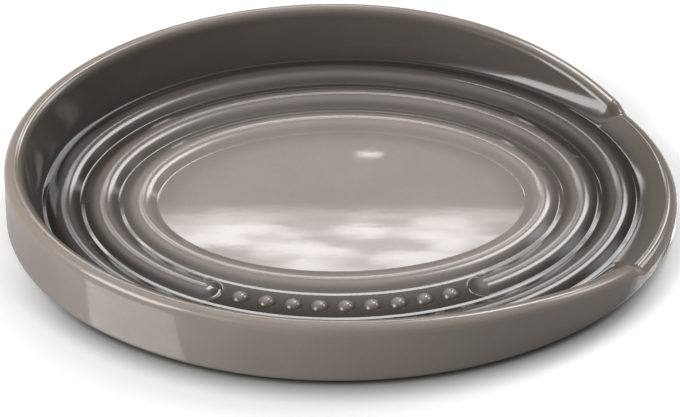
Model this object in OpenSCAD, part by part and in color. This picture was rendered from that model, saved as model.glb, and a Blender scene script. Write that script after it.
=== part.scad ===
// Oval spoon rest in glazed stoneware. X runs along the dish, from its tall end to the
// handle end, Y across it with the broken rib towards -Y, and Z up from the table.

/* [Dish] */
// Length over the rim, along X
dish_l = 150; // [130:1:190]
// Width over the rim, along Y
dish_w = 117.5; // [104:0.5:140]
// Height of the floor above the table
floor_h = 4.1; // [3.8:0.1:6]
// Rise of the rim above the floor at the tall end
rim_rise = 12.4; // [9:0.1:18]
// Thickness of the wall, which ends in a half-round rim
wall_t = 4.5; // [3.6:0.1:5.4]
// Radius of the rounded edge under the wall
edge_r = 1.6; // [1:0.1:2.2]

/* [Handle end] */
// Width of the lowered stretch of rim
gap_w = 56; // [42:1:66]
// Drop from the rim beside the gap to the lowered rim
gap_drop = 1.6; // [0.8:0.1:3]
// Width of the shoulder between the two, across Y
shoulder_w = 3; // [2:0.1:5]
// Angle above level at which the lowered rim's half round runs out into its inner slope
lip_angle = 74; // [66:1:80]
// How late the rim falls towards the handle end: higher keeps it level for longer
fall_power = 5.7; // [3:0.1:8]

/* [Ribs] */
// Spacing of the ribs
rib_pitch = 8.6; // [7.5:0.05:9]
// Height of a rib above the valleys beside it
rib_h = 1.1; // [0.8:0.1:2]
// Rise of the ribbed band from the floor to the wall's foot
band_rise = 0.9; // [0:0.1:1.6]
// How late the band rises towards the wall: higher keeps it level for longer
band_power = 1.4; // [1:0.1:2]
// Width of the flat valleys between ribs
valley_w = 0.8; // [0.6:0.1:1.6]
// Radius of a rib's round crest, as a share of the largest that fits
crest_share = 0.75; // [0.4:0.01:0.85]
// Radius of the fillets at a rib's foot, as a share of the same
fillet_share = 0.08; // [0.04:0.01:0.12]
// Width of the flat land, where the middle rib breaks off
land_w = 54; // [44:1:64]

/* [Pearls] */
// Number of pearls on the land
pearl_count = 9; // [5:1:11]
// Diameter of a pearl
pearl_d = 4; // [3:0.1:4.8]
// Height of a pearl
pearl_h = 1.2; // [0.8:0.1:1.6]

/* [Foot and glaze] */
// Height of the foot ring, which lifts the underside off the table
foot_h = 0.8; // [0.5:0.1:1.4]
// Width of the foot ring
foot_w = 6; // [4:0.5:9]
// Inset of the foot ring from the outer wall
foot_inset = 3.5; // [2.5:0.5:6]
// Thickness of the glaze coats
glaze_t = 0.4; // [0.3:0.05:0.5]

/* [Hidden] */

clay_colour = "#c9b8a3";
glaze_colour = "#8f857f";
pool_colour = "#625a53";
pearl_colour = "#746b64";

half_l = dish_l / 2;
half_w = dish_w / 2;
rim_r = wall_t / 2;

// Insets of the ribs' spines: the outermost valley is one pitch from the outer face
rib_count = 3;
spines = [for (i = [0:rib_count - 1]) (i + 3 / 2) * rib_pitch];
middle_rib = spines[1];
rib_reach = (rib_pitch - valley_w) / 2;
wall_foot = spines[0] - rib_reach - valley_w;

// A rib's section is a crest arc, a straight flank and a fillet arc on each side
largest_r = (rib_reach * rib_reach + rib_h * rib_h) / (2 * rib_h);
crest_r = crest_share * largest_r;
fillet_r = fillet_share * largest_r;
arcs_r = crest_r + fillet_r;
rib_slope = atan2(rib_reach, arcs_r - rib_h) - acos(arcs_r / norm([rib_reach, arcs_r - rib_h]));
crest_reach = crest_r * sin(rib_slope);
fillet_reach = fillet_r * sin(rib_slope);

// The lowered rim's centre is level with the floor
tall_h = floor_h + rim_rise;
low_h = floor_h + rim_r;
beside_h = low_h + gap_drop;

// Semi-axes of the rim's centre line and of the middle rib's crest
rim_a = half_l - rim_r;
rim_b = half_w - rim_r;
crest_a = half_l - middle_rib;
crest_b = half_w - middle_rib;

// Angles round the oval where the rim's shoulder starts and ends
shoulder_in = asin((gap_w - shoulder_w) / 2 / rim_b);
shoulder_out = asin((gap_w + shoulder_w) / 2 / rim_b);

// The middle rib's spine stops short of the land by the radius of its round end
spine_end_x = land_w / 2 + rib_reach;
spine_angle = acos(spine_end_x / crest_a);
tip_angle = acos(land_w / 2 / crest_a);
spine_ends = [for (side = [-1, 1]) [side * spine_end_x, -crest_b * sin(spine_angle)]];

// Counts of meridians in each stretch of the oval
end_steps = 8;
shoulder_steps = 3;
back_steps = 34;
tip_steps = 3;
land_steps = 9;
front_steps = 4;

function span(from, to, steps) = [for (i = [0:steps - 1]) from + (to - from) * i / steps];

meridians = concat(
    span(-shoulder_in, shoulder_in, end_steps),
    span(shoulder_in, shoulder_out, shoulder_steps),
    span(shoulder_out, 180 + spine_angle, back_steps),
    span(180 + spine_angle, 180 + tip_angle, tip_steps),
    span(180 + tip_angle, 360 - tip_angle, land_steps),
    span(360 - tip_angle, 360 - spine_angle, tip_steps),
    span(360 - spine_angle, 360 - shoulder_out, front_steps),
    span(360 - shoulder_out, 360 - shoulder_in, shoulder_steps));

// Angles, or shares of the way, at which the rounded sections are sampled
edge_arc = [270, 240, 210, 180];
glazed_edge_arc = [240, 210, 180];
rim_share = [0, 1 / 6, 2 / 6, 3 / 6, 4 / 6, 5 / 6, 1];
wall_share = [1 / 4, 1 / 2, 3 / 4, 1];

// Points along each rib as shares of its reach, finer for the glaze than for the clay that it hides
glaze_share = [-1, -0.65, -0.3, 0, 0.3, 0.65, 1];
clay_share = [-1, -0.5, 0, 0.5, 1];

function smooth(t) = t <= 0 ? 0 : t >= 1 ? 1 : t * t * (3 - 2 * t);

// Point on the oval at an angle, inset from the outer face
function plan(angle, inset) =
    [(half_l - inset) * cos(angle), (half_w - inset) * sin(angle)];

// Height of the rim: a late fall along X, then the shoulder down to the lowered rim
function fall(x) = pow((x + half_l) / dish_l, fall_power);
function full_rim(x) =
    tall_h - (tall_h - beside_h) * fall(x) / fall(rim_a * cos(asin(gap_w / 2 / rim_b)));
function rim_top(angle) =
    let (x = rim_a * cos(angle))
    let (y = abs(rim_b * sin(angle)))
    let (up = x < 0 ? 1 : smooth((y - gap_w / 2) / shoulder_w + 1 / 2))
    low_h + (max(full_rim(x), low_h) - low_h) * up;

// Height of a level valley, counted inwards from the wall's foot to the floor
function valley_top(count) = floor_h + band_rise * pow(1 - count / rib_count, band_power);

// Height of a rib above its foot at a distance from its spine
function arc_drop(radius, r) = radius - sqrt(radius * radius - r * r);
function wave(r) =
    r >= rib_reach ? 0
    : r <= crest_reach ? rib_h - arc_drop(crest_r, r)
    : r >= rib_reach - fillet_reach ? arc_drop(fillet_r, rib_reach - r)
    : rib_h - arc_drop(crest_r, crest_reach) - (r - crest_reach) * tan(rib_slope);

// Height of the ribbed band at an offset from a rib's spine, where the middle rib has round ends
function past_spine(p) = p[1] < 0 && abs(p[0]) < spine_end_x;
function band_top(rib, offset) =
    let (outer = valley_top(rib))
    let (inner = valley_top(rib + 1))
    outer + (inner - outer) * (offset / rib_reach + 1) / 2;
function rib_top(angle, rib, offset) =
    let (p = plan(angle, spines[rib] + offset))
    let (to_end = min([for (end = spine_ends) norm(p - end)]))
    let (r = spines[rib] == middle_rib && past_spine(p) ? to_end : abs(offset))
    band_top(rib, offset) + wave(r);

// Angle above level at which the rim's half round ends: near level where the wall is tall
function rim_end(angle) = lip_angle * rim_r / (rim_top(angle) - floor_h);

// Sections as [inset, height] at one meridian, sunk below the finished surface by skin.
// The inner wall runs on from the rim's end and bends to lie level at its foot.
function edge_section(angles, skin) =
    [for (a = angles) [edge_r + (edge_r - skin) * cos(a), foot_h + edge_r + (edge_r - skin) * sin(a)]];
function rim_section(angle, skin) =
    let (centre = rim_top(angle) - rim_r)
    [for (share = rim_share)
        let (a = 180 + (rim_end(angle) - 180) * share)
        [rim_r + (rim_r - skin) * cos(a), centre + (rim_r - skin) * sin(a)]];
function wall_section(angle, skin) =
    let (top = rim_edge(angle, skin)[0])
    let (foot = [wall_foot, valley_top(0) - skin])
    let (bend = [min(top[0] + (top[1] - foot[1]) * tan(rim_end(angle)), wall_foot), foot[1]])
    [for (share = wall_share)
        (1 - share) * ((1 - share) * top + share * bend) + share * ((1 - share) * bend + share * foot)];
function rib_section(angle, skin, shares) =
    [for (rib = [0:rib_count - 1], share = shares)
        let (offset = share * rib_reach)
        [spines[rib] + offset, rib_top(angle, rib, offset) - skin]];

function inner_section(angle, skin, shares) =
    concat(wall_section(angle, skin), rib_section(angle, skin, shares));
function outer_section(angle, arc, skin) = concat(edge_section(arc, skin), rim_section(angle, skin));
function rim_edge(angle, skin) = let (rim = rim_section(angle, skin)) [rim[len(rim) - 1]];

function reverse(list) = [for (i = [len(list) - 1:-1:0]) list[i]];

// Solid swept round the oval: each meridian has one section with the same number of points.
// A looped section closes on itself, and an open one is capped at both ends.
module swept(sections, looped) {
    rows = len(sections[0]);
    count = len(meridians);
    points = [for (row = [0:rows - 1], m = [0:count - 1])
        let (p = sections[m][row])
        concat(plan(meridians[m], p[0]), p[1])];
    bands = looped ? rows : rows - 1;
    sides = [for (row = [0:bands - 1], m = [0:count - 1])
        let (here = row * count, above = (row + 1) % rows * count, next = (m + 1) % count)
        each [[here + m, above + m, above + next], [here + m, above + next, here + next]]];
    caps = looped ? [] : [
        [for (m = [0:count - 1]) m],
        [for (m = [count - 1:-1:0]) (rows - 1) * count + m]];
    polyhedron(points, concat(sides, caps));
}

// Fired clay: floor, ribs, wall and rim in one piece
module clay_dish() {
    color(clay_colour)
        swept([for (angle = meridians) concat(
            outer_section(angle, edge_arc, glaze_t),
            inner_section(angle, glaze_t, clay_share))], false);
}

// Bare ring that stands on the table
module foot_ring() {
    color(clay_colour)
        linear_extrude(foot_h)
            difference() {
                polygon([for (angle = meridians) plan(angle, foot_inset)]);
                polygon([for (angle = meridians) plan(angle, foot_inset + foot_w)]);
            }
}

// Coat over the inner wall, the ribs and the floor, from the inner edge of the rim
module inside_glaze() {
    color(pool_colour)
        swept([for (angle = meridians) concat(
            reverse(inner_section(angle, glaze_t, clay_share)),
            rim_edge(angle, glaze_t),
            rim_edge(angle, 0),
            inner_section(angle, 0, glaze_share))], false);
}

// Coat over the outer wall and the rim, which stops on the rounded edge under the wall
module outside_glaze() {
    color(glaze_colour)
        swept([for (angle = meridians) concat(
            outer_section(angle, glazed_edge_arc, 0),
            reverse(outer_section(angle, glazed_edge_arc, glaze_t)))], true);
}

// Low dome with a flat base
module pearl() {
    ball_r = (pearl_d * pearl_d / 4 + pearl_h * pearl_h) / (2 * pearl_h);
    intersection() {
        translate([0, 0, pearl_h - ball_r])
            sphere(ball_r, $fn = 48);
        cylinder(d = pearl_d, h = pearl_h, $fn = 48);
    }
}

// Pearls along the line of the middle rib, between its round ends, square to the sloping land
module pearl_row() {
    reach = land_w / 2 - pearl_d;
    lean = atan2(valley_top(1) - valley_top(2), 2 * rib_reach);
    color(pearl_colour)
        for (i = [0:pearl_count - 1]) {
            angle = 360 - acos(reach * (2 * i / (pearl_count - 1) - 1) / crest_a);
            translate(concat(plan(angle, middle_rib), band_top(1, 0)))
                rotate(lean, [sin(angle) / crest_b, -cos(angle) / crest_a, 0])
                    pearl();
        }
}

clay_dish();
foot_ring();
inside_glaze();
outside_glaze();
pearl_row();
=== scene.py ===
"""Oval spoon rest in glazed stoneware: looks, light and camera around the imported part.

X runs along the dish towards the lowered rim, Y across it, and Z up from the table. Lengths are in metres.
"""

import math

import bpy
import numpy as np
from mathutils import Matrix, Vector


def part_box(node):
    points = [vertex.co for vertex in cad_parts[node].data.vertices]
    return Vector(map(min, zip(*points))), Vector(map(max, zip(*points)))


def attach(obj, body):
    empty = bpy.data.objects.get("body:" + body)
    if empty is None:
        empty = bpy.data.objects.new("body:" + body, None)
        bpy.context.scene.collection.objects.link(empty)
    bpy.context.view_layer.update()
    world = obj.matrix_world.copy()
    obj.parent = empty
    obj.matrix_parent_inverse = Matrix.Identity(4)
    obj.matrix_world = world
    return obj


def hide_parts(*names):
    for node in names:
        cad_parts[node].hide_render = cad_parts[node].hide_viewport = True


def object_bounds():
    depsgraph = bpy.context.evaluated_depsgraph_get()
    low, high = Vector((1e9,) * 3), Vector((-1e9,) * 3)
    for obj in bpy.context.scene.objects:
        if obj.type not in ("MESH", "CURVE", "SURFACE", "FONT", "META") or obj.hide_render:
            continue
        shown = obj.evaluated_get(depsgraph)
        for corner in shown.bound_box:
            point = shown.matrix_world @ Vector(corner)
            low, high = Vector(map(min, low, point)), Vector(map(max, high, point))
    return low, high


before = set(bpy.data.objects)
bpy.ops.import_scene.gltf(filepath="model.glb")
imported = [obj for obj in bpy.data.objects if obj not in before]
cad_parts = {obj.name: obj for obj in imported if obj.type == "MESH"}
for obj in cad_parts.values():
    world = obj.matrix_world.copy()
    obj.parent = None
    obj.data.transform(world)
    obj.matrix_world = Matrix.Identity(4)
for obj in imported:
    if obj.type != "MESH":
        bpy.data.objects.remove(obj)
cad_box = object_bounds()

MM = 0.001

# Sizes that the frame shows
HALF_L = cad_box[1].x
TALL_H = cad_box[1].z
FOOT_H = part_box("foot_ring")[1].z
FOOT_INSET = HALF_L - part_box("foot_ring")[1].x
GLAZE_T = HALF_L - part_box("clay_dish")[1].x
FLOOR_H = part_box("inside_glaze")[0].z + GLAZE_T

# Sizes that repeat the part's own
HALF_W = 58.75 * MM
WALL_T = 4.5 * MM
EDGE_R = 1.6 * MM
GAP_W = 56 * MM
GAP_DROP = 1.6 * MM
SHOULDER_W = 3 * MM
LIP_ANGLE = math.radians(74)
FALL_POWER = 5.7
RIB_COUNT = 3
RIB_PITCH = 8.6 * MM
RIB_H = 1.1 * MM
BAND_RISE = 0.9 * MM
BAND_POWER = 1.4
VALLEY_W = 0.8 * MM
CREST_SHARE = 0.75
FILLET_SHARE = 0.08
LAND_W = 54 * MM
PEARL_COUNT = 9
PEARL_D = 4 * MM
PEARL_H = 1.2 * MM
FOOT_W = 6 * MM

# Sizes worked out from those
RIM_R = WALL_T / 2
LOW_H = FLOOR_H + RIM_R
BESIDE_H = LOW_H + GAP_DROP
RIM_A, RIM_B = HALF_L - RIM_R, HALF_W - RIM_R
SPINES = [(i + 1.5) * RIB_PITCH for i in range(RIB_COUNT)]
MIDDLE_RIB = SPINES[1]
RIB_REACH = (RIB_PITCH - VALLEY_W) / 2
WALL_FOOT = SPINES[0] - RIB_REACH - VALLEY_W
FLOOR_EDGE = SPINES[-1] + RIB_REACH
CREST_A, CREST_B = HALF_L - MIDDLE_RIB, HALF_W - MIDDLE_RIB
SPINE_END_X = LAND_W / 2 + RIB_REACH
SPINE_END_Y = -CREST_B * math.sqrt(1 - (SPINE_END_X / CREST_A) ** 2)
FOOT_SOFT = FOOT_H / 4

# A rib's section is a crest arc, a straight flank and a fillet arc on each side
LARGEST_R = (RIB_REACH ** 2 + RIB_H ** 2) / (2 * RIB_H)
CREST_R, FILLET_R = CREST_SHARE * LARGEST_R, FILLET_SHARE * LARGEST_R
ARCS_R = CREST_R + FILLET_R
RIB_SLOPE = (math.atan2(RIB_REACH, ARCS_R - RIB_H)
             - math.acos(ARCS_R / math.hypot(RIB_REACH, ARCS_R - RIB_H)))
CREST_REACH, FILLET_REACH = CREST_R * math.sin(RIB_SLOPE), FILLET_R * math.sin(RIB_SLOPE)

# Angles on the rounded edge under the wall, in degrees
GLAZE_STOP, UNDERSIDE, WALL_START = 240, 270, 180

# Samples round the oval and along a section
SHOULDER_STEPS = 24
END_STEPS = 64
TIP_STEPS = 30
LAND_STEPS = 70
FRONT_STEPS = 40
BACK_STEPS = 260
RIM_SAMPLES = 24
WALL_SAMPLES = 28
RIB_SAMPLES = 41
HIDDEN_SAMPLES = 5
VALLEY_SHARES = (0.95, 0.5, 0.05)
FLOOR_SHARES = (0.998, 0.98, 0.94, 0.9, 0.85, 0.7, 0.55, 0.4, 0.25, 0.1)
PEARL_SIDES, PEARL_STEPS = 48, 12
SHARP_ANGLE = math.radians(50)


def smooth(t):
    t = np.clip(t, 0, 1)
    return t * t * (3 - 2 * t)


def meridian_angles():
    """Angles round the oval, closer together at the shoulders and the middle rib's round ends."""
    shoulder_in = math.asin((GAP_W - SHOULDER_W) / 2 / RIM_B)
    shoulder_out = math.asin((GAP_W + SHOULDER_W) / 2 / RIM_B)
    spine = math.acos((SPINE_END_X + RIB_REACH) / CREST_A)
    tip = math.acos((LAND_W / 2 - RIB_REACH) / CREST_A)
    stops = [
        (-shoulder_in, END_STEPS), (shoulder_in, SHOULDER_STEPS), (shoulder_out, BACK_STEPS),
        (math.pi + spine, TIP_STEPS), (math.pi + tip, LAND_STEPS), (math.tau - tip, TIP_STEPS),
        (math.tau - spine, FRONT_STEPS), (math.tau - shoulder_out, SHOULDER_STEPS),
        (math.tau - shoulder_in, 0)]
    spans = [np.linspace(a, b, n, endpoint=False) for (a, n), (b, _) in zip(stops, stops[1:])]
    return np.concatenate(spans)


ANGLES = meridian_angles()


def plan(inset):
    """Points on the oval at every meridian, inset from the outer face."""
    return (HALF_L - inset) * np.cos(ANGLES), (HALF_W - inset) * np.sin(ANGLES)


def fall(x):
    """How far along the dish a place is, weighted so that most of the fall comes late."""
    return ((x + HALF_L) / (2 * HALF_L)) ** FALL_POWER


def rim_top():
    """Height of the rim at every meridian: a late fall along X, then a shoulder down to the lowered rim."""
    x, y = RIM_A * np.cos(ANGLES), np.abs(RIM_B * np.sin(ANGLES))
    gap_x = RIM_A * math.cos(math.asin(GAP_W / 2 / RIM_B))
    full = TALL_H - (TALL_H - BESIDE_H) * fall(x) / fall(gap_x)
    up = np.where(x < 0, 1, smooth((y - GAP_W / 2) / SHOULDER_W + 0.5))
    return LOW_H + (np.maximum(full, LOW_H) - LOW_H) * up


RIM_TOP = rim_top()
RIM_END = LIP_ANGLE * RIM_R / (RIM_TOP - FLOOR_H)


def valley_top(count):
    """Height of a level valley, counted inwards from the wall's foot to the floor."""
    return FLOOR_H + BAND_RISE * (1 - count / RIB_COUNT) ** BAND_POWER


def band_top(rib, offset):
    """Height of the band under a rib, which slopes from valley to valley and is level in them."""
    outer, inner = valley_top(rib), valley_top(rib + 1)
    return outer + (inner - outer) * np.clip((offset / RIB_REACH + 1) / 2, 0, 1)


def wave(r):
    """Height of a rib above its foot at a distance from its spine."""
    crest = RIB_H - CREST_R + np.sqrt(CREST_R ** 2 - np.minimum(r, CREST_REACH) ** 2)
    flank = np.minimum(crest, crest - (r - CREST_REACH) * math.tan(RIB_SLOPE))
    into_fillet = np.clip(RIB_REACH - r, 0, FILLET_REACH)
    fillet = FILLET_R - np.sqrt(FILLET_R ** 2 - into_fillet ** 2)
    return np.where(r >= RIB_REACH - FILLET_REACH, fillet, flank)


def spine_distance(rib, offset):
    """Distance from a rib's spine at every meridian, where the middle rib has round ends."""
    beside = np.full(len(ANGLES), abs(offset))
    if SPINES[rib] != MIDDLE_RIB:
        return beside
    x, y = plan(MIDDLE_RIB + offset)
    to_end = np.hypot(np.abs(x) - SPINE_END_X, y - SPINE_END_Y)
    return np.where((y < 0) & (np.abs(x) < SPINE_END_X), to_end, beside)


def ring(inset, height):
    """One ring of points, with an inset and a height for every meridian."""
    x, y = plan(inset)
    return np.stack((x, y, np.broadcast_to(height, x.shape)), axis=-1)


def edge_rings(start, skin):
    """Rounded edge under the wall, from a start angle in degrees up to the wall."""
    arc = np.radians(np.linspace(start, WALL_START, RIM_SAMPLES // 2))
    reach = EDGE_R - skin
    return [ring(EDGE_R + reach * math.cos(a), FOOT_H + EDGE_R + reach * math.sin(a)) for a in arc]


def rim_rings(skin):
    """Half-round rim, from the outer face to where it runs out into the inner wall."""
    reach = RIM_R - skin
    arc = [math.pi + (RIM_END - math.pi) * share for share in np.linspace(0, 1, RIM_SAMPLES)]
    return [ring(RIM_R + reach * np.cos(a), RIM_TOP - RIM_R + reach * np.sin(a)) for a in arc]


def wall_rings(skin, samples):
    """Inner wall, which runs on from the rim and bends to lie level at its foot."""
    reach = RIM_R - skin
    top = RIM_R + reach * np.cos(RIM_END)
    foot = valley_top(0) - skin
    rise = RIM_TOP - RIM_R + reach * np.sin(RIM_END) - foot
    bend = np.minimum(top + rise * np.tan(RIM_END), WALL_FOOT)
    shares = np.linspace(0, 1, samples + 1)[1:]
    return [ring((1 - t) ** 2 * top + 2 * t * (1 - t) * bend + t * t * WALL_FOOT,
                 foot + (1 - t) ** 2 * rise) for t in shares]


def rib_places(samples):
    """Rib and offset from its spine of each ring over the ribs, each with the flat valley outside it."""
    valley = [-RIB_REACH - share * VALLEY_W for share in VALLEY_SHARES]
    return [(rib, offset) for rib in range(RIB_COUNT)
            for offset in valley + list(RIB_REACH * np.linspace(-1, 1, samples))]


def rib_rings(skin, samples):
    """Ribbed band, from the wall's foot to the floor's edge."""
    return [ring(SPINES[rib] + offset, band_top(rib, offset) + wave(spine_distance(rib, offset)) - skin)
            for rib, offset in rib_places(samples)]


def floor_rings(edge):
    """Rings that close in on the middle of the floor from its edge."""
    return [edge * (share, share, 1) for share in FLOOR_SHARES]


def quads_over(grid):
    """Faces between neighbouring rows of a grid of point numbers, where each row closes on itself."""
    here, above = grid[:-1], grid[1:]
    quads = np.stack((here, np.roll(here, -1, 1), np.roll(above, -1, 1), above), axis=-1)
    return quads.reshape(-1, 4).tolist()


def fan(row, tip):
    """Triangles from a closed row of point numbers to one point."""
    return [[a, b, tip] for a, b in zip(row, np.roll(row, -1))]


def new_piece(name, points, faces, material, **layers):
    """Smooth mesh object with its sharp edges kept. Each layer is a named value for every point."""
    mesh = bpy.data.meshes.new(name)
    mesh.from_pydata(points, [], faces)
    for layer, values in layers.items():
        data = mesh.attributes.new(layer, "FLOAT", "POINT").data
        data.foreach_set("value", np.asarray(values, np.float32))
    mesh.shade_smooth()
    mesh.set_sharp_from_angle(angle=SHARP_ANGLE)
    mesh.materials.append(material)
    piece = bpy.data.objects.new(name, mesh)
    bpy.context.collection.objects.link(piece)
    return piece


def swept(name, rings, looped, material, **layers):
    """Closed smooth mesh through rings of points. A looped section closes on itself, and an open one is
    capped at both ends. Each layer is a named row of values for every ring."""
    rings = np.array(rings)
    points = rings.reshape(-1, 3)
    grid = np.arange(len(points)).reshape(rings.shape[:2])
    faces = quads_over(np.vstack((grid, grid[:1])) if looped else grid)
    if not looped:
        faces += fan(grid[0][::-1], len(points)) + fan(grid[-1], len(points) + 1)
        points = np.vstack((points, rings[0].mean(0), rings[-1].mean(0)))
    flat = {layer: np.append(np.concatenate(rows), (rows[0][0], rows[-1][0]))[:len(points)]
            for layer, rows in layers.items()}
    return new_piece(name, points.tolist(), faces, material, **flat)


def put(piece, node):
    """Seats a finished piece: it rides on the one body and stands for a node."""
    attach(piece, "root")
    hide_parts(node)


# A Mix node's sockets for colours
MIX_FACTOR, MIX_A, MIX_B, MIX_RESULT = 0, 6, 7, 2


class Nodes:
    """Short way to write the nodes of a material or a lamp."""

    def __init__(self, owner):
        owner.use_nodes = True
        self.owner = owner
        self.tree = owner.node_tree

    def own(self, name):
        """A node that is there from the start, by name."""
        return self.tree.nodes[name]

    def add(self, kind, settings=None, **inputs):
        """Adds a node. Inputs are values or the sockets that feed them, by name with _ for a space."""
        node = self.tree.nodes.new("ShaderNode" + kind)
        for key, value in (settings or {}).items():
            setattr(node, key, value)
        for key, value in inputs.items():
            self.feed(node.inputs[key.replace("_", " ")], value)
        return node

    def feed(self, socket, value):
        if isinstance(value, bpy.types.NodeSocket):
            self.tree.links.new(value, socket)
        else:
            socket.default_value = value

    def place(self):
        return self.add("TexCoord").outputs["Object"]

    def noise(self, scale, detail=2.0, stretch=1.0):
        """Noise that can be stretched along X."""
        place = self.add("Mapping", Vector=self.place(), Scale=(1 / stretch, 1, 1)).outputs["Vector"]
        return self.add("TexNoise", Vector=place, Scale=scale, Detail=detail).outputs["Fac"]

    def layer(self, name):
        return self.add("Attribute", {"attribute_name": name}).outputs["Fac"]

    def ramp(self, value, start, end, low=0.0, high=1.0, kind="LINEAR"):
        """Maps start..end to low..high, and stays there beyond them."""
        node = self.add("MapRange", {"interpolation_type": kind}, Value=value, From_Min=start,
                        From_Max=end, To_Min=low, To_Max=high)
        return node.outputs["Result"]

    def spread(self, value, low, high):
        """Maps 0..1 to a range."""
        return self.ramp(value, 0.0, 1.0, low, high)

    def math(self, operation, *values):
        node = self.add("Math", {"operation": operation})
        for socket, value in zip(node.inputs, values):
            self.feed(socket, value)
        return node.outputs["Value"]

    def mix(self, factor, a, b, blend="MIX"):
        """Mixes two colours."""
        node = self.add("Mix", {"data_type": "RGBA", "blend_type": blend})
        for socket, value in ((MIX_FACTOR, factor), (MIX_A, a), (MIX_B, b)):
            self.feed(node.inputs[socket], value)
        return node.outputs[MIX_RESULT]

    def join(self, kind, *shaders, **inputs):
        """Adds a node that joins two shaders, which are its last two inputs."""
        node = self.add(kind, **inputs)
        for socket, shader in zip(list(node.inputs)[-2:], shaders):
            self.feed(socket, shader)
        return node.outputs["Shader"]

    def bump(self, height, distance, normal=None):
        node = self.add("Bump", Height=height, Distance=distance)
        if normal is not None:
            self.feed(node.inputs["Normal"], normal)
        return node.outputs["Normal"]


def grey(value):
    return (value, value, value, 1)


# Glaze: colours where it lies thin and where it pools, the deep one also standing for painted shade in the
# hollows, then its noise scales, roughness and unevenness
PALE = (0.34, 0.293, 0.27, 1)
OUTSIDE = (0.36, 0.305, 0.265, 1)
DEEP_AND_SHADED = (0.032, 0.028, 0.022, 1)
GLAZE_CLOUD_SCALE, GLAZE_SPECK_SCALE, GLAZE_SHINE_SCALE = 90, 1400, 220
SWELL_SCALE, SWELL_STRETCH = 200, 3.0
RIPPLE_SCALE, RIPPLE_H = 700, 0.0005 * MM
INSIDE_SWELL_H, OUTSIDE_SWELL_H = 0.002 * MM, 0.004 * MM
CRISP_ROUGH, SOFT_ROUGH = 0.02, 0.13
GLAZE_IOR = 1.52


def glaze(name, pale, swell_h):
    """Glossy glaze: deep by its depth layer, where it pools and where shade is painted into its hollows,
    and softer in its shine by its soft layer, with a faint cloud in its colour and a slow unevenness in its
    surface."""
    n = Nodes(bpy.data.materials.new(name))
    shader = n.own("Principled BSDF").inputs
    clouds = n.mix(n.noise(GLAZE_CLOUD_SCALE, 3.0), grey(0.92), grey(1.08))
    specks = n.mix(n.noise(GLAZE_SPECK_SCALE), grey(0.95), grey(1.05))
    colour = n.mix(1.0, n.mix(n.layer("pool"), pale, DEEP_AND_SHADED), clouds, "MULTIPLY")
    n.feed(shader["Base Color"], n.mix(1.0, colour, specks, "MULTIPLY"))
    uneven = n.spread(n.noise(GLAZE_SHINE_SCALE), 0.8, 1.2)
    rough = n.spread(n.layer("soft"), CRISP_ROUGH, SOFT_ROUGH)
    n.feed(shader["Roughness"], n.math("MULTIPLY", uneven, rough))
    swell = n.bump(n.noise(SWELL_SCALE, 2.0, SWELL_STRETCH), swell_h)
    n.feed(shader["Normal"], n.bump(n.noise(RIPPLE_SCALE, 1.0), RIPPLE_H, swell))
    shader["IOR"].default_value = GLAZE_IOR
    return n.owner


# Bare clay: the two colours of its body, then its noise scales and its grit
CLAY_DARK, CLAY_PALE = (0.52, 0.42, 0.32, 1), (0.64, 0.54, 0.43, 1)
CLAY_CLOUD_SCALE, CLAY_SHINE_SCALE, CLAY_GRAIN_SCALE = 120, 500, 1500
CLAY_GRAIN_H = 0.06 * MM
GRIT_SCALE, GRIT_SHARE, GRIT_GREY = 900, 0.22, 0.55


def clay(name):
    """Bare fired clay: matt, with fine grain and darker specks of grit."""
    n = Nodes(bpy.data.materials.new(name))
    shader = n.own("Principled BSDF").inputs
    body = n.mix(n.noise(CLAY_CLOUD_SCALE, 4.0), CLAY_DARK, CLAY_PALE)
    grit = n.add("TexVoronoi", Vector=n.place(), Scale=GRIT_SCALE).outputs["Distance"]
    specks = n.add("ValToRGB", Fac=grit)
    specks.color_ramp.elements[0].color = grey(GRIT_GREY)
    specks.color_ramp.elements[1].position = GRIT_SHARE
    n.feed(shader["Base Color"], n.mix(1.0, body, specks.outputs["Color"], "MULTIPLY"))
    n.feed(shader["Roughness"], n.spread(n.noise(CLAY_SHINE_SCALE), 0.75, 0.95))
    n.feed(shader["Normal"], n.bump(n.noise(CLAY_GRAIN_SCALE, 4.0), CLAY_GRAIN_H))
    return n.owner


# How deep the glaze colour is, from 0 for pale to 1 for deep, with painted shade deepening the valleys and
# the wall's foot, and how soft its shine is
WALL_POOL, WALL_SOFT = 0.7, 0.65
CREST_POOL, CREST_POOL_POWER = 0.92, 0.7
# Valleys: deepest colour, glaze pooling together with painted shade, easing off towards the floor
VALLEY_POOL_SHADE_LOSS, VALLEY_POOL_SHADE_POWER = 0.75, 3
FLANK_START_SHARE, FLANK_SHARE = 0.3, 0.5
FLOOR_PALE_SHARE = 0.8
RIM_PALE_SHARE = 0.2
PEARL_FOOT_POOL, PEARL_TOP_POOL, PEARL_SOFT = 0.9, 0.2, 0.3


def rows_of(values):
    return [np.full(len(ANGLES), v) for v in values]


def pool_at(rib, offset):
    """How deep the glaze colour is at every meridian: pale by the floor and deep by the wall, and deepest
    in the valleys, where it is glaze pooling together with painted shade."""
    out = np.clip((FLOOR_EDGE - SPINES[rib] - offset) / (FLOOR_EDGE - WALL_FOOT), 0, 1)
    crest = CREST_POOL * out ** CREST_POOL_POWER
    valley = 1 - VALLEY_POOL_SHADE_LOSS * (1 - out) ** VALLEY_POOL_SHADE_POWER
    down = smooth((spine_distance(rib, offset) / RIB_REACH - FLANK_START_SHARE) / FLANK_SHARE)
    return crest + (valley - crest) * down


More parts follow.
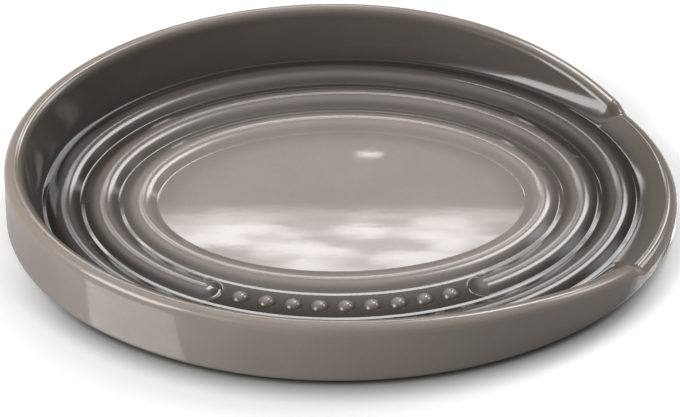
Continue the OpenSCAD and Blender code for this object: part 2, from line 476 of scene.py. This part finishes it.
def inside_glaze(material):
    """Coat over the inner wall, the ribs and the floor, with its hidden back against the clay."""
    hidden = wall_rings(GLAZE_T, HIDDEN_SAMPLES) + rib_rings(GLAZE_T, HIDDEN_SAMPLES)
    back = hidden[::-1] + [rim_rings(GLAZE_T)[-1]]
    wall, ribs = [rim_rings(0)[-1]] + wall_rings(0, WALL_SAMPLES), rib_rings(0, RIB_SAMPLES)
    floor = floor_rings(ribs[-1])
    places = rib_places(RIB_SAMPLES)
    # The wall's colour deepens to full at its foot: deeper glaze with painted shade in the corner by the
    # ribs
    down = np.linspace(0, 1, len(wall))
    pool = rows_of([WALL_POOL] * len(back)) + rows_of(WALL_POOL + (1 - WALL_POOL) * down ** 2)
    pool += [pool_at(rib, offset) for rib, offset in places]
    depths = [smooth((share - FLOOR_PALE_SHARE) / (1 - FLOOR_PALE_SHARE)) for share in FLOOR_SHARES]
    pool += [pool[-1] * depth for depth in depths]
    soft = rows_of([WALL_SOFT] * (len(back) + len(wall)))
    soft += [wave(spine_distance(rib, offset)) / RIB_H for rib, offset in places]
    soft += rows_of([0.0] * len(floor))
    return swept("inside_glaze", back + wall + ribs + floor, False, material, pool=pool, soft=soft)


def outside_glaze(material):
    """Coat over the outer wall and the rim, deeper towards the rim's inner side."""
    edge, rim = edge_rings(GLAZE_STOP, 0), rim_rings(0)
    hidden = edge_rings(GLAZE_STOP, GLAZE_T) + rim_rings(GLAZE_T)
    across = smooth(np.linspace(-RIM_PALE_SHARE, 1, len(rim)))
    depth = np.concatenate((np.zeros(len(edge)), across, np.zeros(len(hidden))))
    return swept("outside_glaze", edge + rim + hidden[::-1], True, material,
                 pool=rows_of(WALL_POOL * depth), soft=rows_of(WALL_SOFT * depth))


def clay_dish(material):
    """Fired body under the coats."""
    rings = (edge_rings(UNDERSIDE, GLAZE_T) + rim_rings(GLAZE_T) + wall_rings(GLAZE_T, HIDDEN_SAMPLES)
             + rib_rings(GLAZE_T, HIDDEN_SAMPLES))
    return swept("clay_dish", rings, False, material)


def foot_ring(material):
    """Bare ring under the dish with softened edges."""
    outer, inner = FOOT_INSET, FOOT_INSET + FOOT_W
    section = [(inner, FOOT_H), (inner, FOOT_SOFT), (inner - FOOT_SOFT, 0), (outer + FOOT_SOFT, 0),
               (outer, FOOT_SOFT), (outer, FOOT_H)]
    return swept("foot_ring", [ring(i, h) for i, h in section], True, material)


def dome():
    """Points and faces of one pearl on level ground, with its top point last."""
    ball_r = (PEARL_D ** 2 / 4 + PEARL_H ** 2) / (2 * PEARL_H)
    widest = math.asin(PEARL_D / 2 / ball_r)
    around = np.linspace(0, math.tau, PEARL_SIDES, endpoint=False)
    points = []
    for tilt in np.linspace(widest, 0, PEARL_STEPS, endpoint=False):
        r, z = ball_r * math.sin(tilt), PEARL_H - ball_r * (1 - math.cos(tilt))
        points += [Vector((r * math.cos(t), r * math.sin(t), z)) for t in around]
    grid = np.arange(len(points)).reshape(PEARL_STEPS, PEARL_SIDES)
    faces = [grid[0][::-1].tolist()] + quads_over(grid) + fan(grid[-1], len(points))
    return points + [Vector((0, 0, PEARL_H))], faces


def pearl_seats():
    """Places of the pearls along the line of the middle rib, each leaning with the band under it."""
    lean = math.atan2(valley_top(1) - valley_top(2), 2 * RIB_REACH)
    reach = LAND_W / 2 - PEARL_D
    for x in np.linspace(-reach, reach, PEARL_COUNT):
        angle = -math.acos(x / CREST_A)
        out = Vector((math.cos(angle) / CREST_A, math.sin(angle) / CREST_B, 0))
        yield (Matrix.Translation((x, CREST_B * math.sin(angle), band_top(1, 0)))
               @ Matrix.Rotation(lean, 4, out.cross((0, 0, 1))))


def pearl_row(material):
    """Low glazed domes on the land where the middle rib breaks off, paler towards their tops."""
    one, one_faces = dome()
    points, faces = [], []
    for seat in pearl_seats():
        faces += [[len(points) + i for i in face] for face in one_faces]
        points += [seat @ p for p in one]
    paler = PEARL_TOP_POOL - PEARL_FOOT_POOL
    pool = [PEARL_FOOT_POOL + paler * p.z / PEARL_H for p in one] * PEARL_COUNT
    return new_piece("pearl_row", points, faces, material, pool=pool, soft=[PEARL_SOFT] * len(points))


def build_pieces():
    inside = glaze("inside_glaze", PALE, INSIDE_SWELL_H)
    outside = glaze("outside_glaze", OUTSIDE, OUTSIDE_SWELL_H)
    bare = clay("bare_clay")
    put(clay_dish(bare), "clay_dish")
    put(foot_ring(bare), "foot_ring")
    put(inside_glaze(inside), "inside_glaze")
    put(outside_glaze(outside), "outside_glaze")
    put(pearl_row(inside), "pearl_row")


# Floor: its size, its greys as seen and as it lights the dish, its lift to white and its shine
FLOOR_SIZE, FLOOR_STEPS, FLOOR_GAP = 12.0, 12, 0.02 * MM
SEEN_GREY, UNSEEN_GREY = 0.8, 0.28
FLOOR_LIFT = 0.28
FLOOR_SHINE, FLOOR_ROUGH = 0.25, 0.03
FLOOR_CLOUD_SCALE = 3.0

# Painted contact shade on the floor, seen by the camera only: how far it reaches, and the places across the
# dish between which it comes in
CONTACT_REACH, CONTACT_POWER, CONTACT_SAMPLES = 7 * MM, 1.6, 16
CONTACT_FROM, CONTACT_FULL = -10 * MM, -42 * MM
PAINTED_SHADE_GREY = 0.02


def open_share(n):
    """Share of the floor left out of the painted contact shade: ambient occlusion near the dish in front of
    it, fading to none towards the back by a ramp across Y.
    """
    near = n.add("AmbientOcclusion", {"samples": CONTACT_SAMPLES}, Distance=CONTACT_REACH)
    across = n.add("SeparateXYZ", Vector=n.place()).outputs["Y"]
    behind = n.ramp(across, CONTACT_FULL, CONTACT_FROM, kind="SMOOTHSTEP")
    return n.spread(behind, n.math("POWER", near.outputs["AO"], CONTACT_POWER), 1.0)


def floor_material():
    """Plain floor with a faint shine, and painted contact shade by the front of the dish that only camera
    rays see. Camera and glossy rays see it paler, so that it is white out of the shadow."""
    n = Nodes(bpy.data.materials.new("floor"))
    n.tree.nodes.remove(n.own("Principled BSDF"))
    path = n.add("LightPath").outputs
    camera_ray, glossy_ray = path["Is Camera Ray"], path["Is Glossy Ray"]
    cloud = n.mix(n.noise(FLOOR_CLOUD_SCALE), grey(0.96), grey(1.0))
    shade = n.mix(n.math("MAXIMUM", camera_ray, glossy_ray), grey(UNSEEN_GREY), grey(SEEN_GREY))
    matt = n.add("BsdfDiffuse", Color=n.mix(1.0, cloud, shade, "MULTIPLY")).outputs["BSDF"]
    shiny = n.add("BsdfGlossy", Color=grey(1.0), Roughness=FLOOR_ROUGH).outputs["BSDF"]
    both = n.join("MixShader", matt, shiny, Fac=n.spread(glossy_ray, 0.0, FLOOR_SHINE))
    lift = n.add("Emission", Color=grey(1.0), Strength=n.spread(camera_ray, 0.0, FLOOR_LIFT))
    bright = n.join("AddShader", both, lift.outputs["Emission"])
    # Painted contact shade: a near-black shader mixed in by the occlusion share, for camera rays only
    painted_shade = n.add("BsdfDiffuse", Color=grey(PAINTED_SHADE_GREY)).outputs["BSDF"]
    unseen = n.spread(camera_ray, 1.0, 0.0)
    shaded = n.join("MixShader", painted_shade, bright, Fac=n.math("MAXIMUM", open_share(n), unseen))
    n.feed(n.own("Material Output").inputs["Surface"], shaded)
    return n.owner


def table_top():
    row = FLOOR_STEPS + 1
    side = np.linspace(-FLOOR_SIZE / 2, FLOOR_SIZE / 2, row)
    points = [(x, y, -FLOOR_GAP) for y in side for x in side]
    corners = [r * row + c for r in range(FLOOR_STEPS) for c in range(FLOOR_STEPS)]
    faces = [(i, i + 1, i + row + 1, i + row) for i in corners]
    floor = new_piece("floor", points, faces, floor_material())


# Lamps: how far off they stand, the least share of their width that fades, and the clouds on their faces
LAMP_AT = 1.2
LEAST_FADE = 0.001
LAMP_CLOUD_SCALE = 9.0
CLOUD_DARK, CLOUD_BRIGHT = 0.42, 0.58
CLOUDY_UP_TO, CLEAR_FROM = 0.35, 0.6
WORLD_LEVEL = 0.15


def towards(azimuth, elevation):
    """Unit vector at an azimuth from +Y towards +X and an elevation, in degrees."""
    a, e = math.radians(azimuth), math.radians(elevation)
    return Vector((math.sin(a) * math.cos(e), math.cos(a) * math.cos(e), math.sin(e)))


def lamp_face(n, soft, cloud):
    """Brightness over a lamp's face, which fades to its edges and comes and goes in patches low down."""
    place = n.add("NewGeometry").outputs["Parametric"]
    across, up, _ = n.add("SeparateXYZ", Vector=place).outputs
    fades = [n.ramp(n.math("ABSOLUTE", n.math("SUBTRACT", way, 0.5)), 0.5, 0.5 - LEAST_FADE - soft / 2,
                    kind="SMOOTHSTEP") for way in (across, up)]
    least = n.ramp(up, CLOUDY_UP_TO, CLEAR_FROM, 1 - cloud, 1.0)
    patches = n.add("TexNoise", Vector=place, Scale=LAMP_CLOUD_SCALE).outputs["Fac"]
    clouds = n.ramp(patches, CLOUD_DARK, CLOUD_BRIGHT, least, 1.0)
    return n.math("MULTIPLY", n.math("MULTIPLY", *fades), clouds)


def softbox(name, azimuth, elevation, width, height, level, soft, cloud=0.0):
    """Area lamp that faces the dish, with its width and height in degrees. Its level is its brightness
    against white paper at 1, soft is the share of its half width where it fades to its edge, and cloud is
    the share of its brightness that comes and goes in patches."""
    data = bpy.data.lights.new(name, "AREA")
    data.shape = "RECTANGLE"
    data.size = 2 * LAMP_AT * math.tan(math.radians(width / 2))
    data.size_y = 2 * LAMP_AT * math.tan(math.radians(height / 2))
    data.energy = level * math.pi * data.size * data.size_y
    n = Nodes(data)
    n.feed(n.own("Emission").inputs["Strength"], lamp_face(n, soft, cloud))
    lamp = bpy.data.objects.new(name, data)
    back = towards(azimuth, elevation)
    lamp.location = back * LAMP_AT
    lamp.rotation_mode = "QUATERNION"
    lamp.rotation_quaternion = back.to_track_quat("Z", "Y")
    bpy.context.collection.objects.link(lamp)


def lights():
    # Name, azimuth, elevation, width, height, level, soft edge and cloud
    softbox("back_softbox", 1, 40.78, 20, 3.45, 9.0, 0.38, 0.65)
    softbox("low_softbox", 0.5, 30, 12, 14, 4.5, 0.4)
    softbox("right_softbox", 26.5, 48, 15, 37, 10.0, 0.5)
    softbox("left_softbox", -115.2, 36, 29.5, 26, 6.0, 0.1)
    softbox("left_fill", -115, 40, 70, 50, 3.0, 0.9)
    softbox("side_softbox", 62, 40, 30, 30, 6.5, 0.8)
    softbox("top_softbox", 0, 70, 60, 50, 1.0, 0.6)
    softbox("glint", 2.1, 38.08, 0.8, 0.18, 9.0, 0.8)


def surroundings():
    """Even faint light from all round."""
    n = Nodes(bpy.data.worlds.new("studio"))
    background = n.own("Background").inputs
    background["Color"].default_value = grey(1.0)
    background["Strength"].default_value = WORLD_LEVEL
    bpy.context.scene.world = n.owner


CAMERA_AT = Vector((-21.93, -932.32, 757.02)) * MM
CAMERA_AIM = Vector((-0.39, 0, 1.84)) * MM
CAMERA_LENS, SENSOR_W = 283.85, 36
CLIP_NEAR, CLIP_FAR = 0.01, 100


def camera():
    data = bpy.data.cameras.new("camera")
    data.lens, data.sensor_width = CAMERA_LENS, SENSOR_W
    data.clip_start, data.clip_end = CLIP_NEAR, CLIP_FAR
    cam = bpy.data.objects.new("camera", data)
    cam.location = CAMERA_AT
    cam.rotation_mode = "QUATERNION"
    cam.rotation_quaternion = (CAMERA_AIM - CAMERA_AT).to_track_quat("-Z", "Y")
    bpy.context.collection.objects.link(cam)
    bpy.context.scene.camera = cam


build_pieces()
table_top()
lights()
surroundings()
camera()
bpy.context.scene.view_settings.view_transform = "Standard"
